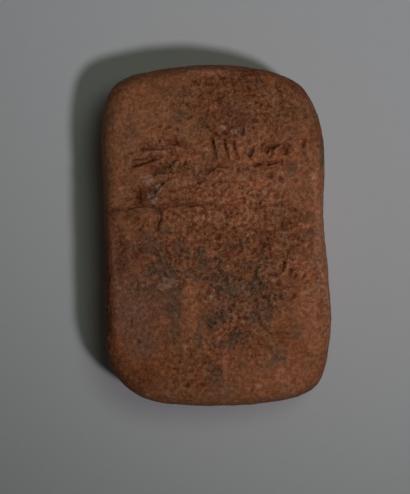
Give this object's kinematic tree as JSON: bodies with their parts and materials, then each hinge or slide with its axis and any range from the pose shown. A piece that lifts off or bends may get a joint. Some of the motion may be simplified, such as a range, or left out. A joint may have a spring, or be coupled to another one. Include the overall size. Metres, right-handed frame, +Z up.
{
  "type": "cuneiform tablet",
  "caption": "Small hand-sized clay writing tablet with rounded corners and edges, worn wedge strokes and a cracked ruled line on its face.",
  "frame": {"origin": "middle of the tablet's plan, on the surface that it rests on", "axes": "+Z up out of the written face, +Y along the length towards the top edge of the writing, +X to the right of the writing"},
  "size_m": [0.0304, 0.045, 0.015],
  "materials": {
    "baked_clay": "matt, earthy, unglazed, with fine grit, grey-brown stains and specks of pale salt"
  },
  "bodies": {
    "root": {"clay_tablet": "baked_clay"}
  },
  "joints": []
}
